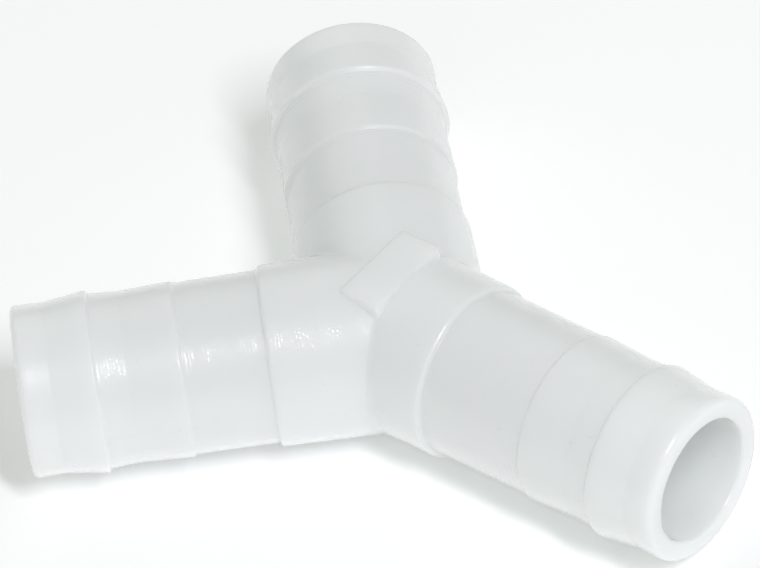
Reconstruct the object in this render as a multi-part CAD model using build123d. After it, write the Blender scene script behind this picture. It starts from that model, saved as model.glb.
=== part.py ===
from build123d import *
import math
import os

# Moulded Y connector for 16 mm hose, one piece of natural polypropylene.
# Three arms of the same make, a stem and two branches, each ending in a barbed spigot.
# The stem runs to -Y and the branches open to +Y, one each side of the plane x = 0.
# It is built about the point where the three arm axes meet, then laid flat on z = 0
# with the middle of its outline over the origin. Z up.

# how the arms lie
fork_angle = 88.0  # between the two branch axes
arm_reach = 35.0  # from the meeting point of the axes to each mouth
mitre_overrun = 1.0  # each arm is made this far past the meeting point, then mitred

# waterway
bore_d = 12.0
mouth_round = 0.25  # edge of the bore at each mouth

# spigot, outside diameters from the mouth inwards
tip_d = 16.0
neck_d = 15.8
first_barb_d = 16.9
first_foot_d = 16.2
waist_d = 15.85
second_barb_d = 16.3
second_foot_d = 15.9
tube_d = 16.0

# spigot, distances back from the mouth
neck_back = 3.0
first_barb_back = 7.0
waist_back = 10.0
second_barb_back = 14.9
barb_step = 0.28  # length over which a barb drops to its foot
tip_land = 1.0  # straight length of the tip behind the mouth

# spigot edges
tip_round = 0.6
first_barb_round = 0.15
second_barb_round = 0.12

# hub, a thicker sleeve over the root of each arm, ending in a step
hub_root_d = 17.2
hub_draft = 1.0  # degrees, narrowing along each arm
stem_collar = 8.6  # reach of the hub along the stem
branch_collar = 12.0  # reach of the hub along each branch
collar_step = 0.25  # length over which the collar drops to the tube
collar_round = 0.35
crease_round = 1.0  # where the arms of the hub run into each other

# flat land on top of the hub, left plain
land_across = 9.3  # across the stem
land_along = 4.4  # along the stem
land_proud = 0.08  # above the top of the hub
land_draft = 4.0  # degrees on its walls
land_root = 6.6  # height at which its walls end inside the hub
land_corner = 0.3
land_edge = 0.12

# gate mark under the hub, a shallow dish with the broken gate standing in it
gate_dish_d = 3.0
gate_dish_depth = 0.3
gate_stub_d = 0.9
gate_stub_h = 0.18


def hub_radius(along):
    return hub_root_d / 2 - along * math.tan(math.radians(hub_draft))


def arm_outline(collar):
    """Points of the half section, along the arm and out from its axis."""
    first = arm_reach - first_barb_back
    second = arm_reach - second_barb_back
    return [
        (-mitre_overrun, 0),
        (-mitre_overrun, hub_radius(-mitre_overrun)),
        (collar, hub_radius(collar)),
        (collar + collar_step, tube_d / 2),
        (second - barb_step, second_foot_d / 2),
        (second, second_barb_d / 2),
        (arm_reach - waist_back, waist_d / 2),
        (first - barb_step, first_foot_d / 2),
        (first, first_barb_d / 2),
        (arm_reach - neck_back, neck_d / 2),
        (arm_reach - tip_land, tip_d / 2),
        (arm_reach, tip_d / 2),
        (arm_reach, 0),
    ]


def round_corner(sketch, spot, radius):
    """Rounds the corner of the half section that lies at the given spot."""
    target = Vector(spot[0], spot[1])
    corner = sorted(sketch.vertices(), key=lambda v: (Vector(*v) - target).length)[0]
    return fillet(corner, radius)


def half_section(collar):
    points = arm_outline(collar)
    section = make_face(Polyline(*points, close=True))
    for spot, radius in (
        (points[2], collar_round),
        (points[5], second_barb_round),
        (points[8], first_barb_round),
        (points[11], tip_round),
    ):
        section = round_corner(section, spot, radius)
    return section


def mitre_wedge(heading, start, stop):
    """The share of the hub that belongs to one arm, between two mitre planes."""
    side = arm_reach * 3
    corners = [(0, 0)]
    for turn in (start, heading, stop):
        corners.append((side * math.cos(math.radians(turn)), side * math.sin(math.radians(turn))))
    return extrude(make_face(Polyline(*corners, close=True)), arm_reach, both=True)


def arm_solid(collar, heading, start, stop):
    """An arm without its bore, cut at the planes halfway to its two neighbours."""
    whole = revolve(half_section(collar), Axis.X, 360)
    return at_arm(whole, heading) & mitre_wedge(heading, start, stop)


def bore_solid():
    return Rot(0, 90, 0) * Cylinder(bore_d / 2, arm_reach, align=(Align.CENTER, Align.CENTER, Align.MIN))


def at_arm(shape, heading):
    """Turns a shape modelled along +X so that it lies on the arm with this heading."""
    return Rot(0, 0, heading) * shape


def flat_land():
    top = hub_root_d / 2 + land_proud
    outline = RectangleRounded(land_across, land_along, land_corner)
    block = extrude(Pos(0, 0, top) * outline, top - land_root, dir=(0, 0, -1), taper=-land_draft)
    rim = block.faces().sort_by(Axis.Z)[-1].edges()
    return fillet(rim, land_edge)


def cut_gate_mark(body):
    underside = -hub_root_d / 2
    dish_floor = Pos(0, 0, underside + gate_dish_depth)
    dish = dish_floor * Cylinder(gate_dish_d / 2, hub_root_d, align=(Align.CENTER, Align.CENTER, Align.MAX))
    stub = dish_floor * Cylinder(
        gate_stub_d / 2, gate_stub_h + gate_dish_depth, align=(Align.CENTER, Align.CENTER, Align.CENTER)
    )
    return body - dish + stub


def lies_on_mitre(edge, heading):
    """True if an edge keeps to the upright plane through Z with this heading."""
    across = Vector(-math.sin(math.radians(heading)), math.cos(math.radians(heading)), 0)
    return all(abs((edge @ share).dot(across)) < 0.02 for share in (0, 0.3, 0.5, 1))


def crease_edges(body):
    """Curves on the mitre planes, where two arms of the hub meet."""
    found = []
    for edge in body.edges().filter_by(GeomType.ELLIPSE):
        if any(lies_on_mitre(edge, heading) for heading in (side_mitre, 180 - side_mitre, 90)):
            found.append(edge)
    return found


def lay_flat(body):
    box = body.bounding_box()
    return Pos(-box.center().X, -box.center().Y, -box.min.Z) * body


def mouth_edges(body):
    """Circles where the bores come out at the mouths."""
    found = []
    for edge in body.edges().filter_by(GeomType.CIRCLE):
        out = math.hypot(edge.arc_center.X, edge.arc_center.Y)
        if abs(edge.radius - bore_d / 2) < 0.01 and abs(out - arm_reach) < 0.01:
            found.append(edge)
    return found


stem_heading = -90.0
branch_heading = 90.0 - fork_angle / 2
side_mitre = (stem_heading + branch_heading) / 2

stem = arm_solid(stem_collar, stem_heading, 180 - side_mitre - 360, side_mitre)
branch = arm_solid(branch_collar, branch_heading, side_mitre, 90)
body = stem + branch + mirror(branch, Plane.YZ)
body = cut_gate_mark(body + flat_land())
body = fillet(crease_edges(body), crease_round)
for heading in (stem_heading, branch_heading, 180 - branch_heading):
    body = body - at_arm(bore_solid(), heading)
body = fillet(mouth_edges(body), mouth_round)

os.makedirs("parts", exist_ok=True)
export_step(lay_flat(body).solid(), "parts/y_connector.step")
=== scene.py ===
import math

import bpy
from mathutils import Matrix, Vector

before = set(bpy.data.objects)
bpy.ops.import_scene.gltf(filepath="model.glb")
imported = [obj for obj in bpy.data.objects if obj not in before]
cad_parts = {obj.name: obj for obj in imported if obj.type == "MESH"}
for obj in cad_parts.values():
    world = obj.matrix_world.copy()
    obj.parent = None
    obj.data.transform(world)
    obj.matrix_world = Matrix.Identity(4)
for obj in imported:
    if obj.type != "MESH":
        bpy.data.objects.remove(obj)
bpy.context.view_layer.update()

mm = 0.001


def linearColour(hexText):
    # sRGB hex to the linear colour that Blender works in
    parts = [int(hexText[i:i + 2], 16) / 255 for i in (1, 3, 5)]
    return tuple(c / 12.92 if c <= 0.04045 else ((c + 0.055) / 1.055) ** 2.4 for c in parts) + (1.0,)


def addNode(tree, kind, settings=None, inputs=None):
    # one node, its settings, then its values or links
    node = tree.nodes.new(kind)
    for name, value in (settings or {}).items():
        setattr(node, name, value)
    for socket, value in (inputs or {}).items():
        if isinstance(value, bpy.types.NodeSocket):
            tree.links.new(value, node.inputs[socket])
        else:
            node.inputs[socket].default_value = value
    return node


camera = {
    "meetingPoint": (0.0, 2.257 * mm, 8.574 * mm),  # where the three bores' axes meet
    "azimuth": -45.64,
    "elevation": 43.25,
    "roll": 8.59,
    "distance": 1027 * mm,
    "aimRight": 1.81 * mm,   # how far the meeting point sits from the picture's middle
    "aimDown": 4.84 * mm,
    "lens": 531.7,           # on a 36 mm sensor
}


def makeCamera(c):
    a, e, r = (math.radians(c[k]) for k in ("azimuth", "elevation", "roll"))
    back = Vector((math.sin(a) * math.cos(e), -math.cos(a) * math.cos(e), math.sin(e)))
    flatRight = Vector((math.cos(a), math.sin(a), 0.0))
    flatDown = (-back).cross(flatRight)
    right = flatRight * math.cos(r) + flatDown * math.sin(r)
    down = flatDown * math.cos(r) - flatRight * math.sin(r)
    place = Vector(c["meetingPoint"]) - right * c["aimRight"] - down * c["aimDown"] + back * c["distance"]
    data = bpy.data.cameras.new("fittingCamera")
    data.lens = c["lens"]
    data.sensor_width = 36.0
    data.clip_start, data.clip_end = 0.01, 20.0
    cameraObject = bpy.data.objects.new("fittingCamera", data)
    bpy.context.scene.collection.objects.link(cameraObject)
    cameraObject.matrix_world = Matrix((
        (right.x, -down.x, back.x, place.x),
        (right.y, -down.y, back.y, place.y),
        (right.z, -down.z, back.z, place.z),
        (0.0, 0.0, 0.0, 1.0)))
    bpy.context.scene.camera = cameraObject


makeCamera(camera)
print("camera placed")


# what a user may want to change about the plastic; lengths in mm unless said
connector = {
    "bodyColour": "#f6f9f8",      # natural polypropylene: milky, a little cool
    "thickColour": "#f0f4f3",     # where the flow left it denser
    "speckColour": "#c9cfcb",     # dust and burnt pellet moulded in
    "ior": 1.49,
    "roughness": 0.44,            # polished tool, so waxy rather than matt
    "roughnessChange": 0.05,      # from crest to valley of a turning mark, half of it
    "drawnOut": 0.6,              # how far the turning marks draw the shine out along an arm
    "skinShine": 0.8,             # the smooth moulded skin, which gives thin glints on the edges
    "skinRoughness": 0.09,
    "edgeSoftness": 0.3,          # how far the skin rounds steps and rims, which draws a line of light
    "scatterDepth": 3.4 * mm,     # how far light soaks into the wall
    "headings": (-90.0, 46.0, 134.0),   # stem, right branch, left branch
    "turningPitch": 0.34,         # the lathe's feed, left in the tool and so in every arm
    "turningDepth": 0.008,        # half the height of the highest ridge
    "turningArc": 3.0,            # length of one mark before it fades
    "turningWander": 9.0,         # radians by which the marks drift along the arm
    "turningFaint": 0.12,         # share of the depth that is left where they fade
    "turningFade": (0.42, 0.68),  # noise values where they start to show and are full
    "markedFeet": (27.2, 19.3),   # from the meeting point to where the tool dwelt, at the foot of each barb
    "markedWidth": 0.8,
    "markedDepth": 2.0,           # times the depth of the marks elsewhere
    "grainSize": 0.25,            # real grain is near 0.05; drawn coarser and deeper so that it shows
    "grainDepth": 0.035,
    "sinkSize": 7.0,              # slow waves where the wall shrank
    "sinkDepth": 0.05,
    "landAcross": 9.6,            # the flat land on the hub, a little over its size
    "landAlong": 4.7,
    "flowSize": 9.0,
    "flowCurl": 0.8,              # how much the streaks curl
    "speckSize": 2.6,             # from one speck to the next
    "speckEdge": (0.03, 0.07),    # noise distances of the speck's core and rim
    "speckStrength": 0.2,
    "partingWidth": 0.16,         # witness line where the two halves of the tool met
    "partingDepth": 0.012,
}


def naturalPolypropyleneMoulded(c):
    # natural polypropylene, injection moulded in a turned and polished tool: milky and waxy; light soaks
    # into the wall and comes out again, so shades are soft and the bore glows, and fine rings break up
    # the shine
    material = bpy.data.materials.new("naturalPolypropyleneMoulded")
    material.use_nodes = True
    tree = material.node_tree
    tree.nodes.clear()
    place = addNode(tree, "ShaderNodeTexCoord")
    fromMeeting = addNode(tree, "ShaderNodeVectorMath", {"operation": "SUBTRACT"},
                          {0: place.outputs["Object"], 1: camera["meetingPoint"]})
    inMm = addNode(tree, "ShaderNodeVectorMath", {"operation": "SCALE"},
                   {0: fromMeeting.outputs[0], "Scale": 1 / mm}).outputs[0]
    # distance along the arm that the point belongs to, the largest of the three arms' distances
    axes = [(math.cos(math.radians(h)), math.sin(math.radians(h)), 0.0) for h in c["headings"]]
    reaches = [addNode(tree, "ShaderNodeVectorMath", {"operation": "DOT_PRODUCT"},
                       {0: inMm, 1: axis}).outputs["Value"] for axis in axes]
    along = reaches[0]
    for reach in reaches[1:]:
        along = addNode(tree, "ShaderNodeMath", {"operation": "MAXIMUM"}, {0: along, 1: reach}).outputs[0]
    # that arm's own direction, for shine that is drawn out along the arm by its turning marks
    direction = axes[0]
    for axis, reach in zip(axes[1:], reaches[1:]):
        own = addNode(tree, "ShaderNodeMath", {"operation": "COMPARE"},
                      {0: reach, 1: along, 2: 0.0001}).outputs[0]
        direction = addNode(tree, "ShaderNodeMix", {"data_type": "VECTOR"},
                            {0: own, 4: direction, 5: axis}).outputs[1]
    # turning marks: even ridges along the arm that wander a little and fade in and out round it
    spread = addNode(tree, "ShaderNodeVectorMath", {"operation": "SCALE"},
                     {0: inMm, "Scale": 1 / c["turningArc"]}).outputs[0]
    slowSteps = addNode(tree, "ShaderNodeMath", {"operation": "DIVIDE"},
                        {0: along, 1: 3 * c["turningPitch"]}).outputs[0]
    wander = addNode(tree, "ShaderNodeTexNoise", {"noise_dimensions": "4D"},
                     {"Vector": spread, "W": slowSteps, "Scale": 1.0, "Detail": 1.0}).outputs["Fac"]
    turns = addNode(tree, "ShaderNodeMath", {"operation": "MULTIPLY"},
                    {0: along, 1: 2 * math.pi / c["turningPitch"]}).outputs[0]
    phase = addNode(tree, "ShaderNodeMath", {"operation": "MULTIPLY_ADD"},
                    {0: wander, 1: c["turningWander"], 2: turns}).outputs[0]
    ridge = addNode(tree, "ShaderNodeMath", {"operation": "SINE"}, {0: phase}).outputs[0]
    faintAt, fullAt = c["turningFade"]
    fade = addNode(tree, "ShaderNodeMapRange", None,
                   {0: wander, 1: faintAt, 2: fullAt, 3: c["turningFaint"], 4: 1.0}).outputs[0]
    for foot in c["markedFeet"]:
        gap = addNode(tree, "ShaderNodeMath", {"operation": "SUBTRACT"}, {0: along, 1: foot}).outputs[0]
        gap = addNode(tree, "ShaderNodeMath", {"operation": "ABSOLUTE"}, {0: gap}).outputs[0]
        deeper = addNode(tree, "ShaderNodeMapRange", {"interpolation_type": "SMOOTHSTEP"},
                         {0: gap, 1: 0.0, 2: c["markedWidth"], 3: c["markedDepth"], 4: 0.0}).outputs[0]
        fade = addNode(tree, "ShaderNodeMath", {"operation": "MAXIMUM"}, {0: fade, 1: deeper}).outputs[0]
    turning = addNode(tree, "ShaderNodeMath", {"operation": "MULTIPLY"}, {0: ridge, 1: fade}).outputs[0]
    # none on the flat land, which was cut by another tool
    spot = addNode(tree, "ShaderNodeSeparateXYZ", None, {0: inMm})
    across = addNode(tree, "ShaderNodeMath", {"operation": "ABSOLUTE"}, {0: spot.outputs["X"]}).outputs[0]
    lengthways = addNode(tree, "ShaderNodeMath", {"operation": "ABSOLUTE"},
                         {0: spot.outputs["Y"]}).outputs[0]
    tests = (("GREATER_THAN", across, c["landAcross"] / 2),
             ("GREATER_THAN", lengthways, c["landAlong"] / 2),
             ("LESS_THAN", spot.outputs["Z"], 0.0))
    turned = 0.0
    for test, value, limit in tests:
        off = addNode(tree, "ShaderNodeMath", {"operation": test}, {0: value, 1: limit}).outputs[0]
        turned = addNode(tree, "ShaderNodeMath", {"operation": "MAXIMUM"}, {0: off, 1: turned}).outputs[0]
    turning = addNode(tree, "ShaderNodeMath", {"operation": "MULTIPLY"}, {0: turning, 1: turned}).outputs[0]
    grain = addNode(tree, "ShaderNodeTexNoise", None,
                    {"Vector": inMm, "Scale": 1 / c["grainSize"], "Detail": 2.0}).outputs["Fac"]
    sink = addNode(tree, "ShaderNodeTexNoise", None,
                   {"Vector": inMm, "Scale": 1 / c["sinkSize"], "Detail": 1.0}).outputs["Fac"]
    flow = addNode(tree, "ShaderNodeTexNoise", None,
                   {"Vector": inMm, "Scale": 1 / c["flowSize"], "Detail": 4.0,
                    "Distortion": c["flowCurl"]}).outputs["Fac"]
    # parting line: a thin raised band at the height of the bores' axes
    offPlane = addNode(tree, "ShaderNodeMath", {"operation": "ABSOLUTE"}, {0: spot.outputs["Z"]}).outputs[0]
    parting = addNode(tree, "ShaderNodeMapRange", {"interpolation_type": "SMOOTHSTEP"},
                      {0: offPlane, 1: 0.0, 2: c["partingWidth"] / 2, 3: 1.0, 4: 0.0}).outputs[0]
    # colour: denser streaks of flow, then a few specks
    cells = addNode(tree, "ShaderNodeTexVoronoi", None,
                    {"Vector": inMm, "Scale": 1 / c["speckSize"]}).outputs["Distance"]
    core, rim = c["speckEdge"]
    specks = addNode(tree, "ShaderNodeMapRange", None,
                     {0: cells, 1: core, 2: rim, 3: c["speckStrength"], 4: 0.0}).outputs[0]
    milky = addNode(tree, "ShaderNodeMix", {"data_type": "RGBA"},
                    {0: flow, 6: linearColour(c["bodyColour"]),
                     7: linearColour(c["thickColour"])}).outputs[2]
    colour = addNode(tree, "ShaderNodeMix", {"data_type": "RGBA"},
                     {0: specks, 6: milky, 7: linearColour(c["speckColour"])}).outputs[2]
    smoothest, roughest = c["roughness"] - c["roughnessChange"], c["roughness"] + c["roughnessChange"]
    shine = addNode(tree, "ShaderNodeMapRange", None,
                    {0: turning, 1: -1.0, 2: 1.0, 3: smoothest, 4: roughest}).outputs[0]
    # slow forms shade the body of the plastic, and the fine marks only break up the shine of its skin
    slow = ((sink, "sinkDepth"), (parting, "partingDepth"))
    fine = ((turning, "turningDepth"), (grain, "grainDepth"))
    edges = addNode(tree, "ShaderNodeBevel", {"samples": 8}, {"Radius": c["edgeSoftness"] * mm}).outputs[0]
    reliefs = []
    for start, patterns in ((None, slow), (edges, slow + fine)):
        relief = start
        for pattern, depth in patterns:
            values = {"Strength": 1.0, "Distance": c[depth] * mm, "Height": pattern}
            if relief is not None:
                values["Normal"] = relief
            relief = addNode(tree, "ShaderNodeBump", None, values).outputs[0]
        reliefs.append(relief)
    bodyRelief, skinRelief = reliefs
    shader = addNode(tree, "ShaderNodeBsdfPrincipled", None, {
        "Base Color": colour, "Roughness": shine, "Normal": bodyRelief, "IOR": c["ior"],
        "Anisotropic": c["drawnOut"], "Tangent": direction,
        "Coat Weight": c["skinShine"], "Coat Roughness": c["skinRoughness"], "Coat IOR": c["ior"],
        "Coat Normal": skinRelief,
        "Subsurface Weight": 1.0, "Subsurface Radius": (1.0, 1.0, 1.0),
        "Subsurface Scale": c["scatterDepth"]})
    addNode(tree, "ShaderNodeOutputMaterial", None, {"Surface": shader.outputs[0]})
    return material


def dress(node, material):
    # the moulded shape is right as it is, so it stays and only takes the plastic
    if not node.data.materials:
        node.data.materials.append(material)
    for i in range(len(node.data.materials)):
        node.data.materials[i] = material


dress(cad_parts["y_connector"], naturalPolypropyleneMoulded(connector))
print("connector finished")


studio = {
    "paperColour": "#fdfdfd",
    "paperSize": 3.0,          # metres
    "paperGlow": 0.16,         # the table is lit from below a little
    "paperRoughness": 0.9,
    "fibreScale": 900.0,       # fibres to the metre; real ones are finer, drawn coarse enough to show
    "fibreDepth": 0.02 * mm,
    "fibreStrength": 0.05,
    "roomColour": "#fafffa",
    "roomStrength": 0.445,
    # azimuth, elevation, distance, width, height, power and colour of each soft box
    "keyBox": (-18.0, 54.0, 0.9, 0.1, 0.36, 3.55, "#faf9ff"),
    "backBox": (150.0, 40.0, 0.9, 0.7, 0.7, 0.65, "#ffffff"),
}


def floorPaper(c):
    # matt background paper, pale
    material = bpy.data.materials.new("mattPaperSheet")
    material.use_nodes = True
    tree = material.node_tree
    tree.nodes.clear()
    place = addNode(tree, "ShaderNodeTexCoord")
    fibre = addNode(tree, "ShaderNodeTexNoise", None,
                    {"Vector": place.outputs["Object"], "Scale": c["fibreScale"]})
    rise = addNode(tree, "ShaderNodeBump", None, {
        "Strength": c["fibreStrength"], "Distance": c["fibreDepth"], "Height": fibre.outputs["Fac"]})
    shader = addNode(tree, "ShaderNodeBsdfPrincipled", None, {
        "Base Color": linearColour(c["paperColour"]), "Roughness": c["paperRoughness"],
        "Normal": rise.outputs[0],
        "Emission Color": linearColour("#ffffff"), "Emission Strength": c["paperGlow"]})
    addNode(tree, "ShaderNodeOutputMaterial", None, {"Surface": shader.outputs[0]})
    return material


def makeFloor(c):
    half = c["paperSize"] / 2
    mesh = bpy.data.meshes.new("floor")
    corners = [(-half, -half, 0), (half, -half, 0), (half, half, 0), (-half, half, 0)]
    mesh.from_pydata(corners, [], [(0, 1, 2, 3)])
    mesh.materials.append(floorPaper(c))
    floor = bpy.data.objects.new("floor", mesh)
    bpy.context.scene.collection.objects.link(floor)


def softBox(name, c):
    azimuth, elevation, distance, width, height, power, colour = c[name]
    a, e = math.radians(azimuth), math.radians(elevation)
    back = Vector((math.sin(a) * math.cos(e), -math.cos(a) * math.cos(e), math.sin(e)))
    data = bpy.data.lights.new(name, "AREA")
    data.shape = "RECTANGLE"
    data.size = width
    data.size_y = height
    data.energy = power
    data.color = linearColour(colour)[:3]
    light = bpy.data.objects.new(name, data)
    light.location = back * distance
    light.rotation_mode = "QUATERNION"
    light.rotation_quaternion = back.to_track_quat("Z", "Y")
    light.visible_camera = False
    bpy.context.scene.collection.objects.link(light)


def makeStudio(c):
    world = bpy.data.worlds.new("studioRoom")
    bpy.context.scene.world = world
    world.use_nodes = True
    background = world.node_tree.nodes["Background"]
    background.inputs["Color"].default_value = linearColour(c["roomColour"])
    background.inputs["Strength"].default_value = c["roomStrength"]
    makeFloor(c)
    for name in ("keyBox", "backBox"):
        softBox(name, c)
    bpy.context.scene.view_settings.view_transform = "Standard"


makeStudio(studio)
print("floor and lights placed")
